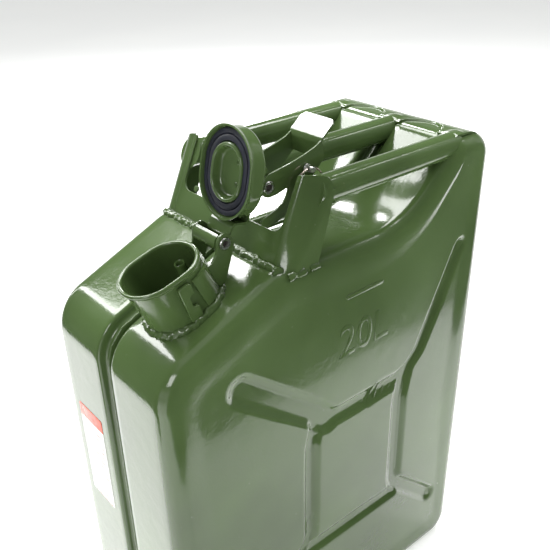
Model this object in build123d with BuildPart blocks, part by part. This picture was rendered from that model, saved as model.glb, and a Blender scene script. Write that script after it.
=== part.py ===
from build123d import *
import os
from math import atan2, cos, degrees, hypot, radians, sin, tan

# Steel jerry can, modelled standing upright with its closure swung open.
# Millimetres. X is the width, -Y the spout end, +Y the rear, +Z up from the floor.

# ---- driving sizes of the tank ----
length = 345.0
width = 165.0
height = 466.0
deck_z = 410.0            # level top under the handles
sheet = 1.0               # tank steel
edge_r = 14.0             # rounding between a broad face and the narrow faces
foot_r = 26.0             # rounding of the two lower corners
rear_r = 28.0             # upper rear corner
crest_r = 16.0            # front crest of the rear hump
sweep_r = 95.0            # hollow between deck and hump
shoulder_r = 40.0         # spout end corner
ridge_r = 26.0            # where deck and shoulder meet
shoulder_angle = 24.0
hump_angle = 46.0
hump_top = 36.5           # start of the hump's slope, from the rear wall
deck_front = 106.5        # deck and shoulder meet, from the spout end wall
channel_half = 8.5        # half width of the sunken seam
channel_depth = 7.0
seam_half = 1.5           # half thickness of the welded seam ridge
seam_proud = 4.0          # ridge height above the channel floor
press_depth = 4.2         # stiffening channels pressed into the broad faces

# ---- driving sizes of the handles ----
bar_r = 11.0
bar_wall = 1.5
bar_spacing = 67.0
bar_z = 458.0
flare_r = 12.4
flare_length = 20.0
plate_t = 2.0
plate_lean = 24.0
plate_half = 80.0
plate_top_half = 79.0
plate_rise = 69.0         # along the leaning plate
plate_corner_r = 15.0
flange_foot = 33.0
flange_head = 24.0
window_inner = 10.0       # windows between the bars, from the middle
window_outer = 62.0
slot_floor_z = 432.0
bar_end_y = 140.0
cover_t = 2.0
cover_half = 74.0

# ---- driving sizes of the neck and closure ----
closure_x = 32.0          # the closure stands clear of the seam, on one half shell
neck_tilt = 18.0
neck_long = 59.0          # outside of the neck at the mouth
neck_short = 46.0
neck_flare = 2.0          # how much longer the mouth is than the foot
neck_sweep = 6.5          # foot of the neck behind its mouth
neck_wall = 1.5
neck_height = 41.0
neck_foot_y = -124.2
rim_r = 1.7
hinge_back = 47.0         # hinge pin behind the middle of the mouth
hinge_drop = 6.0          # hinge pin below the sealing plane
hinge_pin_r = 3.2
barrel_r = 7.5
barrel_half = 13.0
arm_gap = 0.4
arm_t = 2.5
arm_r = 8.0
cap_long = 67.0
cap_short = 58.0
cap_depth = 14.0
cap_wall = 1.2
cap_edge_r = 5.0
skirt = 2.0               # how far the cap reaches past the sealing plane
gasket_t = 4.0
insert_long = 43.0
insert_short = 35.5
cap_lean = 12.0           # open cap leans back past upright
lever_in = 17.7           # lever's outer half width
lever_t = 1.8
ear_gap = 0.4
ear_t = 2.0
rivet_r = 3.6
pin_r = 2.5
ring_r = 14.0
ring_wire_r = 1.0
fit = 0.05                # radial clearance of turning fits
clear = 0.3               # gap between pieces that move past each other

front_y = -length / 2
rear_y = length / 2
half_w = width / 2


def dir_yz(angle):
    """Unit vector in the YZ plane, angle in degrees up from +Y."""
    return Vector(0, cos(radians(angle)), sin(radians(angle)))


def tank_outline():
    """Side outline of the tank as (corners, radii)."""
    slope_foot = rear_y - hump_top - crest_r * tan(radians(hump_angle / 2))
    hump_foot = slope_foot - (height - deck_z) / tan(radians(hump_angle))
    deck_end = front_y + deck_front
    wall_top = deck_z - deck_front * tan(radians(shoulder_angle))
    corners = [
        (front_y, 0),
        (rear_y, 0),
        (rear_y, height),
        (slope_foot, height),
        (hump_foot, deck_z),
        (deck_end, deck_z),
        (front_y, wall_top),
    ]
    radii = [foot_r, foot_r, rear_r, crest_r, sweep_r, ridge_r, shoulder_r]
    return corners, radii


with BuildSketch(Plane.YZ) as outline:
    with BuildLine() as outline_line:
        tank_corners, tank_radii = tank_outline()
        FilletPolyline(*tank_corners, radius=tank_radii, close=True)
    make_face()
tank_face = outline.sketch_local


def slab(inset, x_from, x_to):
    """The side outline, shrunk by inset and extruded between two X planes."""
    with BuildPart() as made:
        with BuildSketch(Plane.YZ.offset(x_from)):
            add(tank_face)
            if inset:
                offset(amount=-inset, mode=Mode.REPLACE)
        extrude(amount=x_to - x_from)
    return made.part


# Centre lines (Y, Z) and half widths of the channels pressed into a broad face.
press_runs = [
    ([(-106, 330), (-70, 300), (-33, 270), (-18, 256)], 10.5),
    ([(-18, 255), (66, 255), (78, 259)], 7.0),
    ([(78, 259), (95, 275), (119, 322), (141, 366)], 6.0),
    ([(-30, 262), (-36, 236), (-36, 128), (-98, 74)], 6.0),
    ([(78, 258), (73, 232), (73, 128), (132, 74)], 7.5),
    ([(-36, 116), (73, 116)], 7.0),
]


def press_face(grow):
    """The channel pattern of a broad face as one flat shape, wider by grow on each side."""
    with BuildSketch(Plane.YZ) as pattern:
        for line, half in press_runs:
            for (y_a, z_a), (y_b, z_b) in zip(line, line[1:]):
                with Locations(((y_a + y_b) / 2, (z_a + z_b) / 2)):
                    SlotCenterToCenter(
                        hypot(y_b - y_a, z_b - z_a), 2 * (half + grow), rotation=degrees(atan2(z_b - z_a, y_b - y_a)))
    return pattern.sketch_local


def half_solid(inset, edge):
    """One half of the tank, +X side, with its outside moved in by inset."""
    side = half_w - inset
    lip = channel_half + (inset if inset else 0)
    with BuildPart() as made:
        add(slab(inset, lip, side))
        outer = made.faces().sort_by(Axis.X)[-1]
        fillet(outer.edges(), edge)
        add(slab(channel_depth + inset, seam_half, lip + 0.1))
        with BuildSketch(Plane.YZ.offset(side - press_depth)):
            add(press_face(0.6 * inset))
        extrude(amount=press_depth + 5, mode=Mode.SUBTRACT)
    return made.part


# ---- neck frame: origin on the shoulder, Z along the neck ----
shoulder_rise = tan(radians(shoulder_angle))
deck_end_y = front_y + deck_front
neck_foot_z = deck_z + (neck_foot_y - deck_end_y) * shoulder_rise
neck_axis = Vector(0, -sin(radians(neck_tilt)), cos(radians(neck_tilt)))
neck_plane = Plane(
    origin=(closure_x, neck_foot_y, neck_foot_z), x_dir=(0, cos(radians(neck_tilt)), sin(radians(neck_tilt))),
    z_dir=tuple(neck_axis))
mouth = Vector(closure_x, neck_foot_y, neck_foot_z) + neck_axis * neck_height
along = Vector(0, cos(radians(neck_tilt)), sin(radians(neck_tilt)))
hinge = mouth + along * hinge_back - neck_axis * hinge_drop
hinge_y = hinge.Y
hinge_z = hinge.Z
closing_angle = 90 + neck_tilt + cap_lean


def neck_body(grow, low, high):
    """A solid as wide as the neck's outside plus grow, between two heights along the neck."""
    with BuildPart() as made:
        for level in (low, high):
            share = 1 - level / neck_height
            with BuildSketch(neck_plane.offset(level)):
                with Locations((neck_sweep * share, 0)):
                    SlotOverall(neck_long - neck_flare * share + 2 * grow, neck_short + 2 * grow)
        loft(ruled=True)
    return made.part


with BuildPart() as tank_solid:
    add(slab(0, -half_w, half_w))
    for broad in (tank_solid.faces().sort_by(Axis.X)[-1], tank_solid.faces().sort_by(Axis.X)[0]):
        fillet(broad.edges(), edge_r)
tank_block = tank_solid.part
neck_hole = neck_body(-neck_wall, -40, 30)

with BuildPart() as right_shell:
    add(half_solid(0, edge_r))
    add(half_solid(sheet, edge_r - sheet), mode=Mode.SUBTRACT)
    add(neck_hole, mode=Mode.SUBTRACT)
right_shell.part.label = "right_shell"

with BuildPart() as left_shell:
    add(half_solid(0, edge_r))
    add(half_solid(sheet, edge_r - sheet), mode=Mode.SUBTRACT)
    mirror(about=Plane.YZ, mode=Mode.REPLACE)
left_shell.part.label = "left_shell"

with BuildPart() as seam_ridge:
    add(slab(channel_depth - seam_proud, -seam_half, seam_half))
    add(slab(channel_depth + 3 * sheet, -seam_half, seam_half), mode=Mode.SUBTRACT)
seam_ridge.part.label = "seam_ridge"

# ---- handles ----
plate_slope = tan(radians(plate_lean))
plate_foot_y = deck_end_y + 4
plate_plane = Plane(
    origin=(0, plate_foot_y, deck_z), x_dir=(1, 0, 0),
    z_dir=(0, -cos(radians(plate_lean)), sin(radians(plate_lean))))
plate_front_y = plate_foot_y + (bar_z - deck_z) * plate_slope
slot_floor = (slot_floor_z - deck_z) / cos(radians(plate_lean))
window_x = (window_outer + window_inner) / 2


def bar_profile(radius, flare, start, end):
    """Half section of a bar that flares towards the front plate."""
    with BuildPart() as made:
        with BuildSketch(Plane.YZ):
            with BuildLine():
                Line((start, 0), (end, 0))
                Line((end, 0), (end, radius))
                Line((end, radius), (start + flare_length, radius))
                Spline(
                    (start + flare_length, radius), (start + 0.35 * flare_length, radius + 0.35 * (flare - radius)),
                    (start, flare), tangents=((-1, 0), (-0.75, 0.66)))
                Line((start, flare), (start, 0))
            make_face()
        revolve(axis=Axis.Y)
    return made.part


bar_start = plate_front_y - 2
bar_blank = bar_profile(bar_r, flare_r, bar_start, bar_end_y)
bar_core = bar_profile(bar_r - bar_wall, flare_r - bar_wall, bar_start - 0.01, bar_end_y + 1)

with BuildPart() as plate_back:
    with BuildSketch(plate_plane.offset(-plate_t)):
        Rectangle(4 * width, 4 * width)
    extrude(amount=80)

with BuildPart() as left_handle:
    with Locations((-bar_spacing, 0, bar_z)):
        add(bar_blank)
        add(bar_core, mode=Mode.SUBTRACT)
    add(tank_block, mode=Mode.SUBTRACT)
    add(plate_back.part, mode=Mode.SUBTRACT)
left_handle.part.label = "left_handle"

with BuildPart() as centre_handle:
    with Locations((0, 0, bar_z)):
        add(bar_blank)
        add(bar_core, mode=Mode.SUBTRACT)
    add(tank_block, mode=Mode.SUBTRACT)
    add(plate_back.part, mode=Mode.SUBTRACT)
centre_handle.part.label = "centre_handle"

with BuildPart() as right_handle:
    with Locations((bar_spacing, 0, bar_z)):
        add(bar_blank)
        add(bar_core, mode=Mode.SUBTRACT)
    add(tank_block, mode=Mode.SUBTRACT)
    add(plate_back.part, mode=Mode.SUBTRACT)
right_handle.part.label = "right_handle"

bars_together = [left_handle.part, centre_handle.part, right_handle.part]

with BuildPart() as front_bracket:
    with BuildSketch(plate_plane):
        with BuildLine():
            FilletPolyline(
                (-plate_half, -12), (plate_half, -12), (plate_top_half, plate_rise), (-plate_top_half, plate_rise),
                radius=[1, 1, plate_corner_r, plate_corner_r], close=True)
        make_face()
        for side in (-1, 1):
            with Locations((side * window_x, slot_floor + 40)):
                RectangleRounded(window_outer - window_inner, 80, 9, mode=Mode.SUBTRACT)
        with Locations((-45, 28)):
            Circle(2.6, mode=Mode.SUBTRACT)
    extrude(amount=-plate_t)
    head_y = plate_foot_y + (plate_rise - plate_corner_r) * cos(radians(plate_lean)) * plate_slope
    head_z = deck_z + (plate_rise - plate_corner_r) * cos(radians(plate_lean))
    for side in (-1, 1):
        with BuildSketch(Plane.YZ.offset(side * plate_half - (plate_t if side > 0 else 0))):
            with BuildLine():
                Polyline(
                    (plate_foot_y - 12 * plate_slope, deck_z - 12), (plate_foot_y + flange_foot, deck_z - 12),
                    (plate_foot_y + flange_foot, deck_z), (head_y + flange_head, head_z),
                    (head_y, head_z), close=True)
            make_face()
        extrude(amount=plate_t)
    add(tank_block, mode=Mode.SUBTRACT)
    for one_bar in bars_together:
        add(one_bar, mode=Mode.SUBTRACT)
front_bracket.part.label = "front_bracket"

with BuildSketch(Plane.YZ) as cover_outline:
    add(tank_face)
    offset(amount=cover_t)
    add(tank_face, mode=Mode.SUBTRACT)
    with Locations((rear_y - 29.5, height - 4)):
        Rectangle(31, 20, mode=Mode.INTERSECT)

with BuildPart() as rear_cover:
    with BuildSketch(Plane.YZ.offset(-cover_half)):
        add(cover_outline.sketch_local)
    extrude(amount=2 * cover_half)
    cover_edge = rear_y - 45
    with BuildSketch(Plane.XY.offset(height - 20)):
        for side in (-1, 1):
            with Locations((side * bar_spacing / 2, cover_edge)):
                Ellipse(bar_spacing / 2 - bar_r - 1, 20)
        with Locations((0, rear_y - 14.5)):
            Rectangle(2 * channel_half, 14)
    extrude(amount=40, mode=Mode.SUBTRACT)
    for one_bar in bars_together:
        add(one_bar, mode=Mode.SUBTRACT)
rear_cover.part.label = "rear_cover"

# ---- weld beads ----
with BuildPart() as plate_weld:
    with Locations((0, plate_foot_y - 1.5, deck_z + 0.5)):
        Cylinder(4.0, 2 * plate_half - 10, rotation=(0, 90, 0))
    add(tank_block, mode=Mode.SUBTRACT)
    add(plate_back.part, mode=Mode.INTERSECT)
    with BuildSketch(plate_plane):
        Rectangle(4 * width, 4 * width)
    extrude(amount=-20, mode=Mode.SUBTRACT)
plate_weld.part.label = "plate_weld"

with BuildPart() as flange_welds:
    for side in (-1, 1):
        with Locations((side * (plate_half - 1.4), plate_foot_y + flange_foot / 2 + 4, deck_z - 5.2)):
            Cylinder(3.4, 20, rotation=(90, 0, 0))
    add(tank_block, mode=Mode.SUBTRACT)
    add(front_bracket.part, mode=Mode.SUBTRACT)
flange_welds.part.label = "flange_welds"

# ---- neck ----
with BuildPart() as neck:
    add(neck_body(0, -25, neck_height - 1))
    with BuildSketch(neck_plane.offset(neck_height - 2 * rim_r)):
        SlotOverall(neck_long + 2 * rim_r, neck_short + 2 * rim_r)
    extrude(amount=2 * rim_r)
    rim_edges = neck.faces().sort_by(Axis((0, 0, 0), tuple(neck_axis)))[-1].edges()
    fillet(rim_edges, rim_r * 0.8)
    add(neck_body(-neck_wall, -40, neck_height + 5), mode=Mode.SUBTRACT)
    add(tank_block, mode=Mode.SUBTRACT)
neck.part.label = "neck"

shoulder_plane = Plane(
    origin=(closure_x, neck_foot_y, neck_foot_z), x_dir=(0, cos(radians(shoulder_angle)), sin(radians(shoulder_angle))),
    z_dir=(0, -sin(radians(shoulder_angle)), cos(radians(shoulder_angle))))

with BuildPart() as neck_weld:
    with BuildSketch(shoulder_plane.offset(-14)):
        with Locations((neck_sweep, 0)):
            SlotOverall(neck_long + 9, neck_short + 10)
    extrude(amount=18, taper=3)
    add(tank_block, mode=Mode.SUBTRACT)
    add(neck_body(0, -25, 60), mode=Mode.SUBTRACT)
neck_weld.part.label = "neck_weld"

breather_r = 4.0
breather_back = neck_long / 2 - neck_wall - 2.8 * breather_r
breather_side = 2.0
with BuildPart() as breather_tube:
    with BuildSketch(neck_plane.offset(-34)):
        with Locations((breather_back, breather_side)):
            Circle(breather_r)
            Circle(breather_r - 1, mode=Mode.SUBTRACT)
    extrude(amount=34 + neck_height - 9)
    with BuildSketch(neck_plane.offset(neck_height - 20)):
        with Locations((breather_back + 3 * breather_r, breather_side)):
            Rectangle(6 * breather_r, 2.6)
    extrude(amount=6)
    add(neck_body(-neck_wall, -40, 60), mode=Mode.INTERSECT)
    with BuildSketch(neck_plane.offset(-60)):
        with Locations((breather_back, breather_side)):
            Circle(breather_r - 1)
    extrude(amount=140, mode=Mode.SUBTRACT)
breather_tube.part.label = "breather_tube"

# ---- hinge bracket round the back of the neck ----
arm_inner = barrel_half + arm_gap
hinge_up = neck_height - hinge_drop
collar_t = 2.5
collar_low = 6.0
collar_high = 33.0
collar_front = 7.5

with BuildPart() as hinge_bracket:
    add(neck_body(collar_t, collar_low, collar_high))
    with BuildSketch(neck_plane.offset(collar_low - 1)):
        with Locations((collar_front - neck_long, 0)):
            Rectangle(2 * neck_long, 3 * neck_short)
    extrude(amount=60, mode=Mode.SUBTRACT)
    for side in (-1, 1):
        arm_sheet = Plane(
            origin=(closure_x + side * (arm_inner + arm_t / 2) - arm_t / 2, neck_foot_y, neck_foot_z),
            x_dir=tuple(neck_plane.x_dir), z_dir=(1, 0, 0))
        with BuildSketch(arm_sheet):
            with BuildLine():
                Polyline(
                    (20, collar_low), (neck_long / 2 + 9, collar_low),
                    (hinge_back + arm_r * 0.8, hinge_up - arm_r * 0.6),
                    (hinge_back - arm_r * 0.75, hinge_up + arm_r * 0.66), (neck_long / 2 - 1, 27), (20, 27),
                    close=True)
            make_face()
            with Locations((hinge_back, hinge_up)):
                Circle(arm_r)
                Circle(hinge_pin_r, mode=Mode.SUBTRACT)
        extrude(amount=arm_t)
    with BuildSketch(Plane.YZ.offset(closure_x - 60)):
        with Locations((neck_foot_y + 4.3, neck_foot_z + 30.5)):
            SlotOverall(9, 5, rotation=60)
    extrude(amount=120, mode=Mode.SUBTRACT)
    add(neck_body(0, -30, 80), mode=Mode.SUBTRACT)
    add(neck_weld.part, mode=Mode.SUBTRACT)
hinge_bracket.part.label = "hinge_bracket"

with BuildPart() as hinge_pin:
    with Locations((closure_x, hinge_y, hinge_z)):
        Cylinder(hinge_pin_r, 2 * (arm_inner + arm_t), rotation=(0, 90, 0))
        with Locations((0, 0, 0)):
            Cylinder(hinge_pin_r - 1.1, 4 * barrel_half + 20, rotation=(0, 90, 0), mode=Mode.SUBTRACT)
    for side in (-1, 1):
        with Locations((closure_x + side * (arm_inner + arm_t + 0.6), hinge_y, hinge_z)):
            Cylinder(hinge_pin_r + 1.5, 1.2, rotation=(0, 90, 0))
            Cylinder(hinge_pin_r - 1.1, 4, rotation=(0, 90, 0), mode=Mode.SUBTRACT)
hinge_pin.part.label = "hinge_pin"

# A pressed lug on each side of the neck.
with BuildPart() as latch_lugs:
    with BuildSketch(neck_plane.offset(4)):
        for side in (-1, 1):
            with Locations((2, side * (neck_short / 2 + 1.5))):
                Rectangle(10, 3.6)
    extrude(amount=30)
    with BuildSketch(Plane(origin=(closure_x - 60, neck_foot_y, neck_foot_z), x_dir=tuple(neck_plane.x_dir),
                           z_dir=(1, 0, 0))):
        with Locations((-2, 19)):
            Rectangle(9, 9)
    extrude(amount=120, mode=Mode.SUBTRACT)
    add(neck_body(0, -30, 80), mode=Mode.SUBTRACT)
    add(tank_block, mode=Mode.SUBTRACT)
    add(neck_weld.part, mode=Mode.SUBTRACT)
latch_lugs.part.label = "latch_lugs"

# ---- cap frame: origin on the hinge, local x along -X, local y up the cap, local z outward ----
cap_up = Vector(0, sin(radians(cap_lean)), cos(radians(cap_lean)))
cap_out = Vector(0, cos(radians(cap_lean)), -sin(radians(cap_lean)))
cap_plane = Plane(origin=(closure_x, hinge_y, hinge_z), x_dir=(-1, 0, 0), z_dir=tuple(cap_out))
seal = hinge_drop + clear
cap_top = seal + cap_depth
cap_centre = (0, hinge_back)


def cap_slug(long_size, short_size, low, high):
    """A solid racetrack prism across the cap, low and high along its outward axis."""
    with BuildPart() as made:
        with BuildSketch(cap_plane.offset(low)):
            with Locations(cap_centre):
                SlotOverall(long_size, short_size, rotation=90)
        extrude(amount=high - low)
    return made.part


with BuildPart() as cap_inside:
    add(cap_slug(cap_long - 2 * cap_wall, cap_short - 2 * cap_wall, seal - skirt, cap_top - cap_wall))
    inside_edges = cap_inside.faces().sort_by(Axis((0, 0, 0), tuple(cap_out)))[-1].edges()
    fillet(inside_edges, cap_edge_r - cap_wall)

with BuildPart() as cap_shell:
    add(cap_slug(cap_long, cap_short, seal - skirt, cap_top))
    top_edges = cap_shell.faces().sort_by(Axis((0, 0, 0), tuple(cap_out)))[-1].edges()
    fillet(top_edges, cap_edge_r)
    add(cap_inside.part, mode=Mode.SUBTRACT)
cap_shell.part.label = "cap_shell"

with BuildPart() as cap_gasket:
    add(cap_slug(cap_long - 2 * cap_wall, cap_short - 2 * cap_wall, seal, seal + gasket_t))
    add(cap_slug(insert_long, insert_short, seal - 1, seal + gasket_t + 1), mode=Mode.SUBTRACT)
cap_gasket.part.label = "cap_gasket"

insert_proud = 1.2
insert_t = 1.0
with BuildPart() as cap_insert:
    add(cap_slug(insert_long, insert_short, seal - insert_proud, cap_top - cap_wall))
    add(cap_slug(insert_long - 2 * insert_t, insert_short - 2 * insert_t, seal + gasket_t, cap_top - cap_wall),
        mode=Mode.SUBTRACT)
    add(cap_slug(insert_long - 12, insert_short - 12, seal - 5, seal + gasket_t - insert_t - 2), mode=Mode.SUBTRACT)
cap_insert.part.label = "cap_insert"

with BuildPart() as insert_welds:
    for place in (-8.0, 8.0):
        with BuildSketch(cap_plane.offset(seal + gasket_t - insert_t - 2)):
            with Locations((-5, cap_centre[1] + place)):
                Circle(1.6)
        extrude(amount=-0.7)
insert_welds.part.label = "insert_welds"

# Hinge strap: a rolled barrel round the pin, then a band up the back of the cap.
strap_t = 2.0
strap_top = 31.0
cap_end = hinge_back - cap_long / 2
with BuildPart() as cap_strap:
    with BuildSketch(Plane(origin=(closure_x - barrel_half, hinge_y, hinge_z), x_dir=tuple(cap_up),
                           z_dir=(1, 0, 0))):
        Circle(barrel_r)
        with BuildLine():
            Polyline((-5, -5), (0, -2), (cap_end - clear, -2), (cap_end - clear, -cap_top - strap_t),
                     (cap_end - clear - 5, -cap_top - strap_t), (-4, -barrel_r - 1), close=True)
        make_face()
        with Locations(((cap_end + strap_top) / 2 - 1, -cap_top - strap_t / 2)):
            Rectangle(strap_top - cap_end + 4, strap_t)
        Circle(hinge_pin_r + fit, mode=Mode.SUBTRACT)
    extrude(amount=2 * barrel_half)
cap_strap.part.label = "cap_strap"

# ---- lever bracket: two ears and a base on the back of the cap ----
pivot_up = 39.5
pivot_out = 31.7
pivot = Vector(closure_x, hinge_y, hinge_z) + cap_up * pivot_up + cap_out * pivot_out
ear_outer = lever_in - lever_t - ear_gap
ear_r = 7.0
base_t = 2.0

with BuildPart() as lever_bracket:
    with BuildSketch(Plane(origin=(closure_x - ear_outer, hinge_y, hinge_z), x_dir=tuple(cap_up),
                           z_dir=(1, 0, 0))):
        with BuildLine():
            Polyline(
                (strap_top + 2.0, -cap_top), (strap_top + 26, -cap_top), (strap_top + 26, -cap_top - 6),
                (pivot_up + ear_r * 0.9, -pivot_out - ear_r * 0.44), (pivot_up - ear_r * 0.9, -pivot_out),
                (strap_top + 2.0, -cap_top - 5), close=True)
        make_face()
        with Locations((pivot_up, -pivot_out)):
            Circle(ear_r)
            Circle(rivet_r, mode=Mode.SUBTRACT)
    extrude(amount=2 * ear_outer)
    with BuildSketch(cap_plane.offset(cap_top + base_t)):
        with Locations((0, pivot_up)):
            Rectangle(2 * (ear_outer - ear_t), 80)
    extrude(amount=60, mode=Mode.SUBTRACT)
lever_bracket.part.label = "lever_bracket"

with BuildPart() as lever_rivets:
    for side in (-1, 1):
        inner_end = closure_x + side * (ear_outer - ear_t - 1)
        outer_end = closure_x + side * (lever_in + clear)
        head_end = closure_x + side * (lever_in + clear + 1.0)
        for x_a, x_b, radius in ((inner_end, outer_end, rivet_r), (outer_end, head_end, rivet_r + 1.3)):
            with Locations(((x_a + x_b) / 2, pivot.Y, pivot.Z)):
                Cylinder(radius, abs(x_b - x_a), rotation=(0, 90, 0))
        with Locations(((inner_end + head_end) / 2, pivot.Y, pivot.Z)):
            Cylinder(rivet_r - 1.2, 12, rotation=(0, 90, 0), mode=Mode.SUBTRACT)
lever_rivets.part.label = "lever_rivets"

# ---- lever: two clawed arms joined by a web and a thumb tab ----
pin_y = 36.5
pin_z = 6.0
arm_outline = [
    (-8.5, 0.0), (-6.0, 6.5), (-1.0, 9.0), (9.0, 10.5), (22.0, 13.0), (35.0, 16.5), (46.0, 20.0), (52.0, 23.5),
    (54.5, 8.5), (45.0, 0.0), (41.0, -5.0), (34.0, -12.0), (22.0, -22.0), (11.0, -28.0), (2.0, -30.5),
    (-6.0, -30.0), (-7.0, -25.0), (0.0, -21.0), (8.0, -19.0), (14.5, -15.0), (18.5, -6.0), (8.0, -7.5), (0.0, -8.5)]
tab_outline = [(50.0, 21.0), (52.4, 21.0), (53.4, 23.4), (66.5, 34.3), (65.4, 35.8), (51.0, 24.6)]
lever_side = Plane(origin=(closure_x - lever_in, pivot.Y, pivot.Z), x_dir=(0, 1, 0), z_dir=(1, 0, 0))
with BuildPart() as lever:
    with BuildSketch(lever_side):
        with BuildLine():
            Polyline(*arm_outline, close=True)
        make_face()
        Circle(8.5)
        Circle(rivet_r + fit, mode=Mode.SUBTRACT)
    extrude(amount=2 * lever_in)
    with BuildSketch(lever_side.offset(lever_t)):
        with BuildLine():
            Polyline((-60, -60), (64, -60), (44, 60), (-60, 60), close=True)
        make_face()
    extrude(amount=2 * (lever_in - lever_t), mode=Mode.SUBTRACT)
    with BuildSketch(lever_side):
        with BuildLine():
            Polyline(*tab_outline, close=True)
        make_face()
    extrude(amount=2 * lever_in)
    with Locations((closure_x + lever_in - lever_t / 2, pivot.Y + pin_y, pivot.Z + pin_z)):
        Cylinder(pin_r + fit, 3 * lever_t, rotation=(0, 90, 0), mode=Mode.SUBTRACT)
lever.part.label = "lever"

# ---- lock pin and its split ring ----
ring_x = closure_x + lever_in + 3.6
eye_r = ring_wire_r + 0.55
with BuildPart() as lock_pin:
    pin_from = closure_x + lever_in - lever_t - 3
    pin_to = ring_x + 4.4
    with Locations(((pin_from + pin_to) / 2, pivot.Y + pin_y, pivot.Z + pin_z)):
        Cylinder(pin_r, pin_to - pin_from, rotation=(0, 90, 0))
    with Locations((closure_x + lever_in + clear + 0.6, pivot.Y + pin_y, pivot.Z + pin_z)):
        Cylinder(pin_r + 1.0, 1.2, rotation=(0, 90, 0))
    with Locations((ring_x, pivot.Y + pin_y, pivot.Z + pin_z)):
        Cylinder(eye_r, 4 * pin_r, rotation=(90, 0, 0), mode=Mode.SUBTRACT)
lock_pin.part.label = "lock_pin"

with BuildPart() as pin_ring:
    with Locations(Plane(origin=(ring_x, pivot.Y + pin_y, pivot.Z + pin_z - ring_r), z_dir=(1, 0, 0))):
        Torus(ring_r, ring_wire_r)
pin_ring.part.label = "pin_ring"

# ---- generic two-colour label on the spout end wall ----
with BuildPart() as side_label:
    with BuildSketch(Plane.XZ.offset(-front_y)):
        with Locations((-41, 226)):
            RectangleRounded(38, 96, 2)
    extrude(amount=0.3)
side_label.part.label = "side_label"

os.makedirs("parts", exist_ok=True)
export_step(left_shell.part, "parts/left_shell.step")
export_step(right_shell.part, "parts/right_shell.step")
export_step(seam_ridge.part, "parts/seam_ridge.step")
export_step(front_bracket.part, "parts/front_bracket.step")
export_step(left_handle.part, "parts/left_handle.step")
export_step(centre_handle.part, "parts/centre_handle.step")
export_step(right_handle.part, "parts/right_handle.step")
export_step(rear_cover.part, "parts/rear_cover.step")
export_step(plate_weld.part, "parts/plate_weld.step")
export_step(flange_welds.part, "parts/flange_welds.step")
export_step(neck.part, "parts/neck.step")
export_step(neck_weld.part, "parts/neck_weld.step")
export_step(breather_tube.part, "parts/breather_tube.step")
export_step(hinge_bracket.part, "parts/hinge_bracket.step")
export_step(hinge_pin.part, "parts/hinge_pin.step")
export_step(latch_lugs.part, "parts/latch_lugs.step")
export_step(cap_shell.part, "parts/cap_shell.step")
export_step(cap_gasket.part, "parts/cap_gasket.step")
export_step(cap_insert.part, "parts/cap_insert.step")
export_step(insert_welds.part, "parts/insert_welds.step")
export_step(cap_strap.part, "parts/cap_strap.step")
export_step(lever_bracket.part, "parts/lever_bracket.step")
export_step(lever_rivets.part, "parts/lever_rivets.step")
export_step(lever.part, "parts/lever.step")
export_step(lock_pin.part, "parts/lock_pin.step")
export_step(pin_ring.part, "parts/pin_ring.step")
export_step(side_label.part, "parts/side_label.step")
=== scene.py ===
"""A steel jerry can standing with its cap swung open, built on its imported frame."""

import math

import bmesh
import bpy
import numpy as np
from mathutils import Matrix, Vector


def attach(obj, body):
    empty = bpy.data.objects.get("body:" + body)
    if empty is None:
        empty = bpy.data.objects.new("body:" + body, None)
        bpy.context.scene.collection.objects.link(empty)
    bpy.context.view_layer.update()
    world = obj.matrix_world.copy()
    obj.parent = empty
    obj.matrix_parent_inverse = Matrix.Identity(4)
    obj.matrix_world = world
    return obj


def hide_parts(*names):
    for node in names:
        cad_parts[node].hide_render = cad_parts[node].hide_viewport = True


bl_info = {
    "name": "Jerry can",
    "version": (1, 0, 0),
    "blender": (4, 5, 0),
    "location": "View3D > Sidebar > Jerry can",
    "description": "Builds a pressed-steel jerry can with an open cap",
    "category": "Add Mesh",
}

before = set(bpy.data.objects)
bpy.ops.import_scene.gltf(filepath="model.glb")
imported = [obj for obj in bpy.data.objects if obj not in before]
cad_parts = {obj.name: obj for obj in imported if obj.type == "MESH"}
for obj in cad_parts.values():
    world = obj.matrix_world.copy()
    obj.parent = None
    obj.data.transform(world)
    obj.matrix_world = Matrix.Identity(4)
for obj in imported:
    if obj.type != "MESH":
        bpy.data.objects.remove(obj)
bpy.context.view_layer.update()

MM = 0.001
HALF_W = 82.5
HALF_L = 172.5
DECK_Z = 410.0
HUMP_Z = 466.0
FOLD_Y = -66.0
CLOSURE_X = 32.0
TILT = math.radians(18.0)
LEAN = math.radians(24.0)
NECK_Y = -124.2
NECK_FOOT = np.array([CLOSURE_X, NECK_Y, DECK_Z + (NECK_Y - FOLD_Y) * math.tan(LEAN)])
NECK_UP = np.array([0.0, -math.sin(TILT), math.cos(TILT)])
NECK_BACK = np.array([0.0, math.cos(TILT), math.sin(TILT)])
SIDE = np.array([1.0, 0.0, 0.0])
NECK_HEIGHT = 41.0
MOUTH = NECK_FOOT + NECK_UP * NECK_HEIGHT
HINGE = MOUTH + NECK_BACK * 47.0 - NECK_UP * 6.0
CAP_LEAN = math.radians(12.0)
CAP_UP = np.array([0.0, math.sin(CAP_LEAN), math.cos(CAP_LEAN)])
CAP_OUT = np.array([0.0, math.cos(CAP_LEAN), -math.sin(CAP_LEAN)])
CAP_CENTRE = HINGE + CAP_UP * 47.0
CAP_LONG, CAP_SHORT = 67.0, 58.0
PAN_LONG, PAN_SHORT = 43.0, 35.5
BAR_X, BAR_Z, BAR_R = 67.0, 458.0, 11.0
PIVOT = HINGE + CAP_UP * 39.5 + CAP_OUT * 31.7
LOCK_PIN = PIVOT + np.array([0.0, 36.5, 6.0])
RING_X = CLOSURE_X + 17.7 + 3.6


# ---------------------------------------------------------------- outlines


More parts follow.
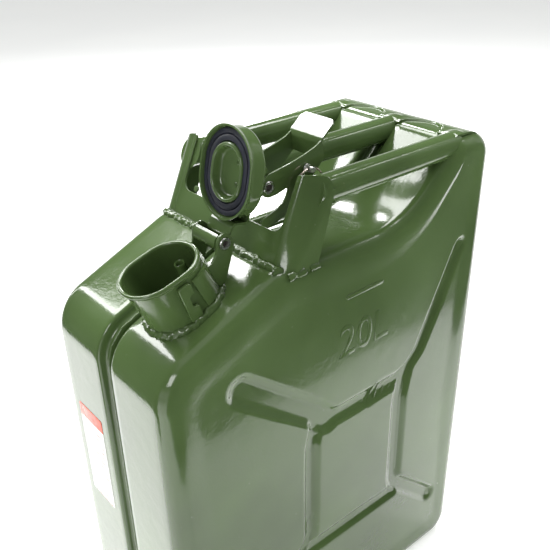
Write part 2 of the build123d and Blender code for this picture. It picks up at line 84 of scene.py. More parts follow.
def rounded(points, radii, closed=True, step=1.5):
    """A polyline with each corner turned into an arc of its radius."""
    points = [np.array(p, float) for p in points]
    count = len(points)
    if np.isscalar(radii):
        radii = [radii] * count
    out = []
    for i, p in enumerate(points):
        if not closed and i in (0, count - 1):
            out.append(p)
            continue
        a, b = points[i - 1] - p, points[(i + 1) % count] - p
        la, lb = np.linalg.norm(a), np.linalg.norm(b)
        a, b = a / la, b / lb
        half = math.acos(max(-1.0, min(1.0, float(a @ b)))) / 2
        if radii[i] <= 0 or half > math.radians(89):
            out.append(p)
            continue
        reach = min(radii[i] / math.tan(half), 0.49 * la, 0.49 * lb)
        r = reach * math.tan(half)
        mid = (a + b) / np.linalg.norm(a + b)
        centre = p + mid * r / math.sin(half)
        start, end = p + a * reach - centre, p + b * reach - centre
        turn = math.pi - 2 * half
        steps = max(3, int(r * turn / step) + 1)
        for k in range(steps + 1):
            w = k / steps
            arm = (start * math.sin((1 - w) * turn) + end * math.sin(w * turn)) / math.sin(turn)
            out.append(centre + arm)
    return np.array(out)


def even(points, count, closed=True):
    """The same polyline with count points equally far apart."""
    loop = np.vstack([points, points[:1]]) if closed else points
    along = np.concatenate([[0], np.cumsum(np.linalg.norm(np.diff(loop, axis=0), axis=1))])
    want = np.linspace(0, along[-1], count + 1)[:-1] if closed else np.linspace(0, along[-1], count)
    return np.stack([np.interp(want, along, loop[:, k]) for k in range(loop.shape[1])], axis=1)


def racetrack(length, width, count=96):
    """An oval of two half circles and two straights, long along the first axis."""
    r, straight = width / 2, (length - width) / 2
    t = np.linspace(0, 2 * math.pi, count, endpoint=False)
    circle = np.stack([np.cos(t) * r, np.sin(t) * r], axis=1)
    circle[:, 0] += straight * np.clip(np.cos(t) * 6, -1, 1)
    return circle


def eye(across, up, radius):
    """Outline of a round hole."""
    corners = [(-radius, -radius), (radius, -radius), (radius, radius), (-radius, radius)]
    return rounded([(across + a, up + b) for a, b in corners], radius - 0.01)


def smooth(low, high, value):
    t = np.clip((value - low) / (high - low), 0, 1)
    return t * t * (3 - 2 * t)


def wobble(points, scale, seed=0.0):
    """Smooth irregular values between -1 and 1 over space."""
    x, y, z = (points[..., k] / scale for k in range(3))
    v = np.sin(x * 1.7 + y * 2.3 + seed) + np.sin(y * 1.1 - z * 1.9 + seed * 1.7)
    v = v + np.sin(z * 2.7 + x * 1.3 + seed * 0.6)
    v = v + 0.6 * np.sin(x * 4.1 - z * 3.7 + seed * 2.1) + 0.6 * np.sin(y * 4.9 + x * 3.1 + seed)
    return v / 4.2


# ---------------------------------------------------------------- meshes


def make(name, points, faces, material, body, nodes=(), angle=40.0, recalc=True):
    """A finished piece from points in millimetres."""
    mesh = bpy.data.meshes.new(name)
    mesh.from_pydata((np.asarray(points, float) * MM).tolist(), [], faces)
    return settle(name, mesh, material, body, nodes, angle, recalc)


def settle(name, mesh, material, body, nodes=(), angle=40.0, recalc=True, merge=1e-6):
    """Cleans a mesh and makes it a piece that rides on its body."""
    bm = bmesh.new()
    bm.from_mesh(mesh)
    bmesh.ops.remove_doubles(bm, verts=bm.verts, dist=merge)
    if recalc:
        bmesh.ops.recalc_face_normals(bm, faces=bm.faces)
    for face in bm.faces:
        face.smooth = True
    limit = math.radians(angle)
    for edge in bm.edges:
        edge.smooth = len(edge.link_faces) != 2 or edge.calc_face_angle(0.0) < limit
    bm.to_mesh(mesh)
    bm.free()
    mesh.materials.clear()
    mesh.materials.append(material)
    piece = bpy.data.objects.new(name, mesh)
    bpy.context.collection.objects.link(piece)
    if nodes:
        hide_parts(*nodes)
    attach(piece, body)
    return piece


def quads(rows, columns, around=True, closed=False, start=0):
    """Faces of a grid. around joins its last column to its first, closed its last row to its first."""
    faces = []
    for i in range(rows if closed else rows - 1):
        for j in range(columns if around else columns - 1):
            a, b = i * columns + j, i * columns + (j + 1) % columns
            c, d = (i + 1) % rows * columns + (j + 1) % columns, (i + 1) % rows * columns + j
            faces.append((start + a, start + b, start + c, start + d))
    return faces


def tube(rings, caps=True):
    """Points and faces of rings joined in order, with a fan at each end."""
    rings = np.array(rings, float)
    rows, columns = rings.shape[:2]
    points = rings.reshape(-1, 3)
    faces = quads(rows, columns)
    if caps:
        points = np.vstack([points, rings[0].mean(0), rings[-1].mean(0)])
        first, last = len(points) - 2, len(points) - 1
        for j in range(columns):
            faces.append((first, (j + 1) % columns, j))
            faces.append((last, (rows - 1) * columns + j, (rows - 1) * columns + (j + 1) % columns))
    return points, faces


def ring_wall(rings):
    """Points and faces of rings joined in order and back to the first."""
    rings = np.array(rings, float)
    return rings.reshape(-1, 3), quads(rings.shape[0], rings.shape[1], closed=True)


def sheet_metal(middle, normal, thickness):
    """Points and faces of a bent sheet given by its middle surface and normals."""
    rows, columns = middle.shape[:2]
    top, low = middle + normal * thickness / 2, middle - normal * thickness / 2
    points = np.vstack([top.reshape(-1, 3), low.reshape(-1, 3)])
    size = rows * columns
    faces = quads(rows, columns, around=False)
    faces += [tuple(reversed([v + size for v in f])) for f in quads(rows, columns, around=False)]
    edge = [(0, j) for j in range(columns)] + [(i, columns - 1) for i in range(1, rows)]
    edge += [(rows - 1, j) for j in range(columns - 2, -1, -1)] + [(i, 0) for i in range(rows - 2, 0, -1)]
    edge = [i * columns + j for i, j in edge]
    for k, a in enumerate(edge):
        b = edge[(k + 1) % len(edge)]
        faces.append((b, a, a + size, b + size))
    return points, faces


def joined(*meshes):
    """Several (points, faces) as one."""
    points, faces = [], []
    for p, f in meshes:
        start = sum(len(q) for q in points)
        points.append(np.asarray(p, float))
        faces += [tuple(v + start for v in face) for face in f]
    return np.vstack(points), faces


def lathe(profile, origin, axis, count=40, closed=False):
    """Rings of (radius, height) pairs turned about axis."""
    axis = np.array(axis, float) / np.linalg.norm(axis)
    side = np.cross(axis, [0.3, 0.5, 0.8])
    side /= np.linalg.norm(side)
    other = np.cross(axis, side)
    t = np.linspace(0, 2 * math.pi, count, endpoint=False)[:, None]
    rings = [np.array(origin) + axis * h + (side * np.cos(t) + other * np.sin(t)) * r for r, h in profile]
    return ring_wall(rings) if closed else tube(rings)


def plate(outlines, origin, across, up, thickness, bevel=0.35):
    """A flat plate with holes and softened edges. The first outline is the outside."""
    curve = bpy.data.curves.new("outline", "CURVE")
    curve.dimensions = "2D"
    curve.fill_mode = "BOTH"
    for outline in outlines:
        spline = curve.splines.new("POLY")
        spline.points.add(len(outline) - 1)
        for point, (a, b) in zip(spline.points, outline):
            point.co = (a, b, 0, 1)
        spline.use_cyclic_u = True
    curve.extrude = thickness / 2 - bevel
    curve.bevel_depth = bevel
    curve.bevel_resolution = 2
    curve.offset = -bevel
    holder = bpy.data.objects.new("outline", curve)
    bpy.context.collection.objects.link(holder)
    made = bpy.data.meshes.new_from_object(holder.evaluated_get(bpy.context.evaluated_depsgraph_get()))
    bpy.data.objects.remove(holder)
    flat = np.array([v.co for v in made.vertices], float).reshape(-1, 3)
    across, up = np.array(across, float), np.array(up, float)
    out = np.cross(across, up)
    points = np.array(origin, float) + flat[:, :1] * across + flat[:, 1:2] * up + flat[:, 2:] * out
    return points, [tuple(p.vertices) for p in made.polygons]


def loose_solid(name, points, faces):
    """A plain object with outward faces, used while cutting."""
    mesh = bpy.data.meshes.new(name)
    mesh.from_pydata((points * MM).tolist(), [], faces)
    bm = bmesh.new()
    bm.from_mesh(mesh)
    bmesh.ops.recalc_face_normals(bm, faces=bm.faces)
    bm.to_mesh(mesh)
    bm.free()
    holder = bpy.data.objects.new(name, mesh)
    bpy.context.collection.objects.link(holder)
    return holder


def cut(piece, cutter):
    """The mesh of a loose piece without the cutter's volume. Both objects are removed."""
    modifier = piece.modifiers.new("cut", "BOOLEAN")
    modifier.operation = "DIFFERENCE"
    modifier.solver = "EXACT"
    modifier.object = cutter
    made = bpy.data.meshes.new_from_object(piece.evaluated_get(bpy.context.evaluated_depsgraph_get()))
    for used in (piece, cutter):
        bpy.data.objects.remove(used)
    return made


# ---------------------------------------------------------------- shader nodes


class Value:
    """A number socket that can be used in sums."""

    def __init__(self, shader, socket):
        self.shader, self.socket = shader, socket

    def _do(self, operation, a, b):
        return self.shader.node("ShaderNodeMath", {"operation": operation}, {0: a, 1: b})

    def __add__(self, other):
        return self._do("ADD", self, other)

    def __radd__(self, other):
        return self._do("ADD", other, self)

    def __sub__(self, other):
        return self._do("SUBTRACT", self, other)

    def __rsub__(self, other):
        return self._do("SUBTRACT", other, self)

    def __mul__(self, other):
        return self._do("MULTIPLY", self, other)

    def __rmul__(self, other):
        return self._do("MULTIPLY", other, self)

    def __gt__(self, other):
        return self._do("GREATER_THAN", self, other)

    def __lt__(self, other):
        return self._do("LESS_THAN", self, other)

    def wave(self):
        return self._do("SINE", self, 0.0)


class Shader:
    """A material's nodes."""

    def __init__(self, name):
        self.material = bpy.data.materials.new(name)
        self.material.use_nodes = True
        self.tree = self.material.node_tree
        self.tree.nodes.clear()
        self.place = self.node("ShaderNodeTexCoord", output="Object")

    def node(self, kind, settings=None, inputs=None, output=0):
        made = self.tree.nodes.new(kind)
        for key, value in (settings or {}).items():
            if key == "stops":
                ramp = made.color_ramp
                while len(ramp.elements) < len(value):
                    ramp.elements.new(0.5)
                for element, (position, colour) in zip(ramp.elements, value):
                    element.position, element.color = position, (*colour, 1.0)
            else:
                setattr(made, key, value)
        for key, value in (inputs or {}).items():
            if isinstance(value, Value):
                self.tree.links.new(value.socket, made.inputs[key])
            else:
                made.inputs[key].default_value = value
        return Value(self, made.outputs[output])

    def noise(self, scale, detail=3.0, roughness=0.5, distortion=0.0):
        return self.node("ShaderNodeTexNoise", None, {
            "Vector": self.place, "Scale": scale, "Detail": detail, "Roughness": roughness,
            "Distortion": distortion}, "Fac")

    def spread(self, value, low, high, to_low=0.0, to_high=1.0):
        return self.node("ShaderNodeMapRange", {"interpolation_type": "SMOOTHSTEP"}, {
            "Value": value, "From Min": low, "From Max": high, "To Min": to_low, "To Max": to_high})

    def ramp(self, value, stops):
        return self.node("ShaderNodeValToRGB", {"stops": stops}, {"Fac": value})

    def blend(self, factor, a, b):
        made = self.tree.nodes.new("ShaderNodeMix")
        made.data_type = "RGBA"
        for socket, value in ((made.inputs[0], factor), (made.inputs[6], a), (made.inputs[7], b)):
            if isinstance(value, Value):
                self.tree.links.new(value.socket, socket)
            else:
                socket.default_value = value if isinstance(value, float) else (*value, 1.0)
        return Value(self, made.outputs[2])

    def bump(self, height, strength, distance):
        return self.node("ShaderNodeBump", None, {
            "Height": height, "Strength": strength, "Distance": distance})

    def finish(self, **inputs):
        """Ends the material in one Principled shader. Keys are its sockets with _ for a space."""
        named = {key.replace("_", " "): value for key, value in inputs.items()}
        surface = self.node("ShaderNodeBsdfPrincipled", None, named)
        out = self.tree.nodes.new("ShaderNodeOutputMaterial")
        self.tree.links.new(surface.socket, out.inputs["Surface"])
        return self.material


def gloss_paint(name, colour, lump=0.0):
    """Thick glossy paint with a slight orange peel."""
    s = Shader(name)
    broad = s.noise(9.0, 2.0)
    fine = s.noise(420.0, 2.0)
    speck = s.noise(900.0, 1.0)
    deep = tuple(c * 0.72 for c in colour)
    light = tuple(min(1.0, c * 1.22) for c in colour)
    tone = s.ramp(broad, [(0.3, deep), (0.52, colour), (0.75, light)])
    dust = s.spread(s.noise(160.0, 6.0, 0.7), 0.66, 0.74)
    tone = s.blend(dust * 0.25, tone, (0.33, 0.36, 0.27))
    peel = fine * 0.5 + s.noise(70.0, 2.0) * (1.2 + lump) + speck * 0.15
    roughness = s.spread(broad, 0.35, 0.7, 0.1, 0.17) + dust * 0.2
    return s.finish(Base_Color=tone, Roughness=roughness, Coat_Weight=0.35, Coat_Roughness=0.06, IOR=1.5,
                    Normal=s.bump(peel, 0.12 + 0.2 * lump, 0.0012))


def rubber(name, colour):
    s = Shader(name)
    grain = s.noise(600.0, 3.0)
    tone = s.ramp(s.noise(60.0, 4.0), [(0.35, tuple(c * 0.6 for c in colour)), (0.7, colour)])
    return s.finish(Base_Color=tone, Roughness=s.spread(grain, 0.3, 0.7, 0.36, 0.5),
                    Normal=s.bump(grain, 0.15, 0.0005))


def metal(name, bright, dark, rough):
    s = Shader(name)
    grime = s.spread(s.noise(220.0, 5.0, 0.7), 0.42, 0.68)
    tone = s.blend(grime, bright, dark)
    return s.finish(Base_Color=tone, Metallic=1.0, Roughness=s.spread(grime, 0.0, 1.0, rough, rough + 0.25),
                    Normal=s.bump(s.noise(500.0, 3.0), 0.12, 0.0004))


def printed_film(name, red, white, top):
    """Two-colour film: a red band over white with plain rows of dashes."""
    s = Shader(name)
    place = s.node("ShaderNodeSeparateXYZ", None, {"Vector": s.place}, "Z")
    across = s.node("ShaderNodeSeparateXYZ", None, {"Vector": s.place}, "X")
    band = place > (top - 13.0) * MM
    rows = ((place * 1100.0).wave() > 0.55) * ((across * 620.0 + place * 2000.0).wave() > -0.2)
    rows = rows * (across > -0.055) * (across < -0.026) * (place < (top - 19.0) * MM)
    tone = s.blend(rows, white, (0.62, 0.2, 0.16))
    tone = s.blend(s.noise(300.0, 3.0) * 0.15, tone, (0.6, 0.6, 0.56))
    tone = s.blend(band, tone, red)
    return s.finish(Base_Color=tone, Roughness=s.spread(s.noise(80.0), 0.3, 0.7, 0.2, 0.34),
                    Normal=s.bump(s.noise(150.0), 0.05, 0.0004))


def finishes():
    """The object's materials, made once."""
    found = bpy.data.materials.get("green paint")
    if not found:
        colours = bpy.context.scene.jerry_colours
        gloss_paint("green paint", tuple(colours.paint))
        gloss_paint("green paint on weld", tuple(c * 0.9 for c in colours.paint), 1.6)
        rubber("black rubber", tuple(colours.rubber))
        metal("zinc plate", (0.78, 0.78, 0.76), (0.42, 0.41, 0.39), 0.2)
        metal("worn nickel", (0.8, 0.7, 0.64), (0.34, 0.27, 0.23), 0.18)
        # Near-black plug colour: painted shade inside the hollow rivet bores.
        rubber("rivet bore", (0.045, 0.035, 0.03))
        printed_film("label film", (0.72, 0.1, 0.05), (0.82, 0.82, 0.8), 274.0)
    return {m.name: m for m in bpy.data.materials}


# ---------------------------------------------------------------- tank


def tank_outline(count):
    """Side outline of the tank and its inward normals, in the YZ plane."""
    corners = [(-HALF_L, 0), (HALF_L, 0), (HALF_L, HUMP_Z), (129.2, HUMP_Z), (75.1, DECK_Z),
               (FOLD_Y, DECK_Z), (-HALF_L, 362.6)]
    line = even(rounded(corners, [26, 26, 28, 16, 95, 26, 40]), count)
    ahead = np.roll(line, -1, 0) - np.roll(line, 1, 0)
    ahead /= np.linalg.norm(ahead, axis=1)[:, None]
    return line, np.stack([-ahead[:, 1], ahead[:, 0]], axis=1)


PRESSED = [
    ([(-106, 330), (-70, 300), (-33, 270), (-18, 256)], 15.0, 9.0, 4.2),
    ([(-18, 255), (66, 255), (78, 259)], 10.5, 7.0, 4.2),
    ([(78, 259), (95, 275), (119, 322), (141, 366)], 9.0, 6.5, 4.2),
    ([(-30, 262), (-36, 236), (-36, 128), (-98, 74)], 9.5, 7.0, 4.2),
    ([(78, 258), (73, 232), (73, 128), (132, 74)], 11.5, 8.0, 4.2),
    ([(-36, 116), (73, 116)], 10.5, 7.0, 4.2),
]


def distance_to(line, y, z):
    """Distance from points to a polyline."""
    best = np.full(y.shape, 1e9)
    for (ya, za), (yb, zb) in zip(line[:-1], line[1:]):
        dy, dz = yb - ya, zb - za
        t = np.clip(((y - ya) * dy + (z - za) * dz) / (dy * dy + dz * dz), 0, 1)
        best = np.minimum(best, np.hypot(y - ya - t * dy, z - za - t * dz))
    return best


def pressed_depth(y, z):
    """How far the broad face is pressed in."""
    depth = np.zeros_like(y)
    for line, half, slope, deep in PRESSED:
        fine = even(rounded(line, 22, closed=False), 60, closed=False)
        d = deep * smooth(half, half - slope, distance_to(fine, y, z))
        depth = depth + d - depth * d / deep
    return depth


def shell_rings(count, inset, rows, fine):
    """Rings of half the tank's wall from the seam to the middle of the broad face, on the +X side."""
    line, inward = tank_outline(count)
    lip = [(1.5, 7.0), (5.2, 7.0), (6.9, 6.6), (7.9, 5.5), (8.3, 4.2),
           (8.6, 2.6), (9.1, 1.3), (10.1, 0.35), (11.6, 0.0)]
    wall = [(x, 0.0) for x in (16, 24, 34, 44, 54, 62, 68.5)]
    bend = [(68.5 + 14 * math.sin(a), 14 - 14 * math.cos(a)) for a in np.linspace(0, math.pi / 2, fine)[1:]]
    if inset:
        lip = lip[:2] + [(8.3 + inset, 6.0), (9.0 + inset, 2.0), (12.5, 0.0)]
    rings = []
    for x, d in lip + wall + bend:
        x = min(x, HALF_W - inset)
        flat = line + inward * (d + inset)
        rings.append(np.column_stack([np.full(count, x), flat]))
    rim = rings[-1][:, 1:]
    middle = np.array([10.0, 205.0])
    reach = np.linalg.norm(rim - middle, axis=1)
    for k in range(1, rows + 1):
        share = (k / rows) if k < rows else 0.996
        flat = rim + (middle - rim) * share
        from_rim = reach * share
        x = HALF_W - inset - 1.1 * smooth(0, 22, from_rim) - pressed_depth(flat[:, 0], flat[:, 1])
        x = x - 0.25 * wobble(np.column_stack([flat, flat[:, 0] * 0.4]), 60.0, 2.0)
        rings.append(np.column_stack([x, flat]))
    return rings


def neck_ring(grow, height, count=112):
    """The neck's section at a height, wider by grow. Its foot lies behind its mouth."""
    share = 1 - height / NECK_HEIGHT
    oval = racetrack(59.0 - 2.0 * share + 2 * grow, 46.0 + 2 * grow, count)
    return NECK_FOOT + (oval[:, :1] + 6.5 * share) * NECK_BACK + oval[:, 1:] * SIDE + NECK_UP * height


class JERRY_OT_shells(bpy.types.Operator):
    """Builds both pressed halves of the tank"""
    bl_idname = "jerry.shells"
    bl_label = "Tank halves"

    def execute(self, context):
        sizes = context.scene.jerry_sizes
        paint = finishes()["green paint"]
        count = sizes.outline_points
        outer = shell_rings(count, 0.0, sizes.face_rows, 11)
        inner = shell_rings(count, 1.0, 16, 5)
        for side, name in ((1, "right_shell"), (-1, "left_shell")):
            rings = np.array(list(reversed(inner)) + outer)
            points, faces = tube(rings)
            points = points * [side, 1, 1]
            if side > 0:
                cutter = loose_solid("hole", *tube([neck_ring(-1.4, -30), neck_ring(-1.4, 20)]))
                mesh = cut(loose_solid("shell", points, faces), cutter)
            else:
                mesh = bpy.data.meshes.new("shell")
                mesh.from_pydata((points * MM).tolist(), [], faces)
            settle("tank_" + name, mesh, paint, "can", (name,), 50.0)
        return {"FINISHED"}


class JERRY_OT_seam(bpy.types.Operator):
    """Builds the welded ridge that runs round the tank in its channel"""
    bl_idname = "jerry.seam"
    bl_label = "Seam ridge"

    def execute(self, context):
        paint = finishes()["green paint on weld"]
        line, inward = tank_outline(900)
        at = np.column_stack([np.zeros(900), line])
        rough = wobble(at, 5.0, 1.0) * 0.55 + wobble(at, 2.2, 4.0) * 0.3
        sway = wobble(at, 14.0, 7.0) * 0.35
        rings = []
        section = [(-1.15, 9.5, 0), (-1.2, 5.0, 0), (-1.0, 3.9, 0.7), (-0.3, 3.45, 1),
                   (0.4, 3.5, 1), (1.0, 4.0, 0.7), (1.2, 5.0, 0), (1.15, 9.5, 0)]
        for x, depth, loose in section:
            flat = line + inward * (depth + loose * rough * 0.8)[:, None] if loose else line + inward * depth
            rings.append(np.column_stack([x + sway * min(1.0, 2 * loose) * 0.5, flat]))
        points, faces = ring_wall(rings)
        make("seam_ridge_weld", points, faces, paint, "can", ("seam_ridge",), 60.0)
        return {"FINISHED"}


# ---------------------------------------------------------------- handles


class JERRY_OT_handles(bpy.types.Operator):
    """Builds the three carrying tubes"""
    bl_idname = "jerry.handles"
    bl_label = "Handles"

    def execute(self, context):
        paint = finishes()["green paint"]
        for name, x in (("left_handle", -BAR_X), ("centre_handle", 0.0), ("right_handle", BAR_X)):
            profile = []
            start = -25.9 if x > 0 else -38.9
            for y in np.concatenate([np.linspace(start, start + 20, 22), np.linspace(start + 24, 136, 12)]):
                flare = 1.4 * math.exp(-max(0.0, y - start) / 6.5)
                profile.append((10.95 + flare, y))
            rings = []
            t = np.linspace(0, 2 * math.pi, 64, endpoint=False)
            for r, y in profile:
                lift = r * np.sin(t)
                ring = np.column_stack([x + r * np.cos(t), np.full(64, y), BAR_Z + lift])
                lean = (lift) * math.tan(LEAN) * smooth(start + 22, start, y)
                ring[:, 1] += lean
                rings.append(ring)
            points, faces = tube(rings)
            make("bar_" + name, points, faces, paint, "can", (name,), 50.0)
        return {"FINISHED"}


class JERRY_OT_front_bracket(bpy.types.Operator):
    """Builds the leaning plate with its two windows and side flanges"""
    bl_idname = "jerry.front_bracket"
    bl_label = "Front bracket"

    def execute(self, context):
        paint = finishes()["green paint"]
        rise, floor, edge = 69.0, (432.0 - DECK_Z) / math.cos(LEAN), 66.0
        corners = [(-edge, -10), (edge, -10), (edge, rise), (62, rise), (62, floor), (10, floor), (10, rise),
                   (-10, rise), (-10, floor), (-62, floor), (-62, rise), (-edge, rise)]
        radii = [0, 0, 0, 2.5, 9, 9, 4, 4, 9, 9, 2.5, 0]
        hole = eye(-45, 28, 2.6)
        foot = np.array([0.0, -62.0, DECK_Z])
        up = np.array([0.0, math.sin(LEAN), math.cos(LEAN)])
        back = np.array([0.0, math.cos(LEAN), -math.sin(LEAN)])
        made = [plate([rounded(corners, radii), hole], foot + back * 1.0, (1, 0, 0), up, 2.0)]
        bend, half = 9.0, 80.0
        wall = half - 1.0
        rows = np.linspace(0, 1, 26)
        for side in (-1, 1):
            middle, normal = [], []
            lengths = list(np.linspace(0, half - edge - bend, 5)) + ["arc"] * 9 + ["flange"] * 8
            arc = iter(np.linspace(0.1, math.pi / 2, 9))
            run = iter(np.linspace(0.12, 1, 8))
            for kind in lengths:
                column, column_normal = [], []
                if kind == "arc":
                    a = next(arc)
                elif kind == "flange":
                    part = next(run)
                for w in rows:
                    if kind == "arc":
                        x, y = wall - bend + bend * math.sin(a), bend - bend * math.cos(a)
                        n = (math.sin(a), -math.cos(a))
                        s = wall - bend - edge + bend * a
                    elif kind == "flange":
                        depth = 33 - 9 * w - (15 * w if side > 0 else 0)
                        x, y, n = wall, bend + (depth - bend) * part, (1.0, 0.0)
                        s = wall - bend - edge + bend * math.pi / 2 + 0.2 * (depth - bend) * part
                    else:
                        x, y = edge + kind * (wall - bend - edge) / (half - edge - bend), 0.0
                        n, s = (0.0, -1.0), kind
                    drop = 15 - math.sqrt(max(0.0, 225 - min(s - 1.0, 14.9) ** 2)) if s > 1 else 0.0
                    v = -12 + w * (rise - drop * 0.95 + 12)
                    pull = 15.0 * w * smooth(66, 76, x) if side > 0 else 0.0
                    y = foot[1] + 1.0 + y + pull + v * math.sin(LEAN)
                    column.append([side * x, y, foot[2] + v * math.cos(LEAN)])
                    column_normal.append([side * n[0], n[1], 0.0])
                middle.append(column)
                normal.append(column_normal)
            made.append(sheet_metal(np.array(middle), np.array(normal), 1.9))
        points, faces = joined(*made)
        make("bracket_plate", points, faces, paint, "can", ("front_bracket",), 35.0)
        return {"FINISHED"}


class JERRY_OT_rear_cover(bpy.types.Operator):
    """Builds the sheet that ties the tubes to the hump"""
    bl_idname = "jerry.rear_cover"
    bl_label = "Rear cover"

    def execute(self, context):
        paint = finishes()["green paint"]
        xs = np.linspace(-74, 74, 149)
        parts = np.linspace(0, 1, 34)
        middle = np.zeros((149, 34, 3))
        for i, x in enumerate(xs):
            off = abs(abs(x) - 33.5)
            front = 129.0 + 19.0 * math.sqrt(max(0.0, 1 - (off / 21.5) ** 2))
            for j, w in enumerate(parts):
                y = front + w * (158.0 - front)
                base = 466.9 - (28 - math.sqrt(max(0.0, 784 - max(0.0, y - 144.5) ** 2)))
                near = min(abs(x), abs(abs(x) - BAR_X))
                bar = 0
                if near < BAR_R:
                    bar = BAR_Z + math.sqrt(BAR_R ** 2 - near ** 2) - 0.9 - 6 * smooth(138, 152, y)
                k = 2.5
                h = max(k - abs(base - bar), 0.0) / k
                z = max(base, bar) + h * h * k * 0.25
                edge_drop = 1.2 * (1 - smooth(0, 0.12, w))
                middle[i, j] = (x, y, min(z, 468.0) - edge_drop)
        normal = np.zeros_like(middle)
        normal[..., 2] = 1
        points, faces = sheet_metal(middle, normal, 1.8)
        make("cover_sheet", points, faces, paint, "can", ("rear_cover",), 50.0)
        return {"FINISHED"}


# ---------------------------------------------------------------- welds


def bead_tree(material):
    """Geometry Nodes: a lumpy weld bead along a curve."""
    tree = bpy.data.node_groups.new("weld bead", "GeometryNodeTree")
    tree.interface.new_socket("Geometry", in_out="INPUT", socket_type="NodeSocketGeometry")
    tree.interface.new_socket("Geometry", in_out="OUTPUT", socket_type="NodeSocketGeometry")
    defaults = {"Radius": 0.003, "Ripple": 0.0008, "Ripple size": 300.0, "Step": 0.0008, "Seed": 1.0}
    for name, default in defaults.items():
        made = tree.interface.new_socket(name, in_out="INPUT", socket_type="NodeSocketFloat")
        made.default_value = default
    new, link = tree.nodes.new, tree.links.new
    start, end = new("NodeGroupInput"), new("NodeGroupOutput")
    resample = new("GeometryNodeResampleCurve")
    resample.mode = "LENGTH"
    circle = new("GeometryNodeCurvePrimitiveCircle")
    circle.inputs["Resolution"].default_value = 20
    sweep = new("GeometryNodeCurveToMesh")
    sweep.inputs["Fill Caps"].default_value = True
    shift = new("GeometryNodeSetPosition")
    noise = new("ShaderNodeTexNoise")
    noise.noise_dimensions = "4D"
    noise.inputs["Detail"].default_value = 3.0
    centre = new("ShaderNodeMath")
    centre.operation = "SUBTRACT"
    centre.inputs[1].default_value = 0.5
    amount = new("ShaderNodeMath")
    amount.operation = "MULTIPLY"
    normal = new("GeometryNodeInputNormal")
    push = new("ShaderNodeVectorMath")
    push.operation = "SCALE"
    smooth_node = new("GeometryNodeSetShadeSmooth")
    realize = new("GeometryNodeRealizeInstances")
    paint = new("GeometryNodeSetMaterial")
    paint.inputs["Material"].default_value = material
    link(start.outputs["Geometry"], resample.inputs["Curve"])
    link(start.outputs["Step"], resample.inputs["Length"])
    link(start.outputs["Radius"], circle.inputs["Radius"])
    link(resample.outputs["Curve"], sweep.inputs["Curve"])
    link(circle.outputs["Curve"], sweep.inputs["Profile Curve"])
    link(start.outputs["Ripple size"], noise.inputs["Scale"])
    link(start.outputs["Seed"], noise.inputs["W"])
    link(noise.outputs["Fac"], centre.inputs[0])
    link(centre.outputs[0], amount.inputs[0])
    link(start.outputs["Ripple"], amount.inputs[1])
    link(normal.outputs[0], push.inputs[0])
    link(amount.outputs[0], push.inputs["Scale"])
    link(sweep.outputs["Mesh"], shift.inputs["Geometry"])
    link(push.outputs["Vector"], shift.inputs["Offset"])
    link(shift.outputs["Geometry"], smooth_node.inputs["Geometry"])
    link(smooth_node.outputs["Geometry"], realize.inputs["Geometry"])
    link(realize.outputs["Geometry"], paint.inputs["Geometry"])
    link(paint.outputs["Geometry"], end.inputs["Geometry"])
    return tree


def bead(name, tree, path, closed, radius, ripple, size, seed, body, nodes):
    """One weld bead along a path in millimetres."""
    curve = bpy.data.curves.new(name, "CURVE")
    curve.dimensions = "3D"
    paths = path if isinstance(path, list) else [path]
    for one in paths:
        spline = curve.splines.new("POLY")
        spline.points.add(len(one) - 1)
        for point, co in zip(spline.points, one):
            point.co = (*(co * MM), 1)
        spline.use_cyclic_u = closed
    holder = bpy.data.objects.new(name, curve)
    bpy.context.collection.objects.link(holder)
    modifier = holder.modifiers.new("bead", "NODES")
    modifier.node_group = tree
    values = {"Radius": radius * MM, "Ripple": ripple * MM, "Ripple size": size, "Step": 0.0009, "Seed": seed}
    for socket in tree.interface.items_tree:
        if socket.in_out == "INPUT" and socket.name in values:
            modifier[socket.identifier] = values[socket.name]
    mesh = bpy.data.meshes.new_from_object(holder.evaluated_get(bpy.context.evaluated_depsgraph_get()))
    bpy.data.objects.remove(holder)
    return settle(name, mesh, finishes()["green paint on weld"], body, nodes, 70.0)


class JERRY_OT_welds(bpy.types.Operator):
    """Lays the weld beads round the neck and along the bracket"""
    bl_idname = "jerry.welds"
    bl_label = "Weld beads"

    def execute(self, context):
        tree = bead_tree(finishes()["green paint on weld"])
        oval = racetrack(59.5, 49.5, 120)
        slope_back = np.array([0.0, math.cos(LEAN), math.sin(LEAN)])
        slope_up = np.array([0.0, -math.sin(LEAN), math.cos(LEAN)])
        path = NECK_FOOT + (oval[:, :1] + 6.4) * slope_back + oval[:, 1:] * SIDE + slope_up * 0.3
        bead("neck_weld_bead", tree, path, True, 3.7, 5.0, 230.0, 2.0, "can", ("neck_weld",))
        x = np.linspace(-74, 74, 90)
        y = -63.2 + 0.5 * np.sin(x * 0.31) + 0.3 * np.sin(x * 0.83)
        path = np.column_stack([x, y, np.full(90, 409.3)])
        bead("plate_weld_bead", tree, path, False, 3.9, 4.4, 210.0, 5.0, "can", ("plate_weld",))
        feet = []
        for side in (-1, 1):
            t = np.linspace(0, 1, 14)
            x = side * (78.4 + 0.6 * np.sin(t * 9))
            feet.append(np.column_stack([x, -58 + 14 * t, 405.6 + 0.6 * np.sin(t * 7)]))
            feet.append(np.column_stack([side * (78.2 + 0 * t), -38 + 9 * t, 405.8 + 0.4 * np.sin(t * 5)]))
        bead("flange_weld_beads", tree, feet, False, 3.3, 3.4, 190.0, 9.0, "can", ("flange_welds",))
        return {"FINISHED"}


# ---------------------------------------------------------------- neck and hinge


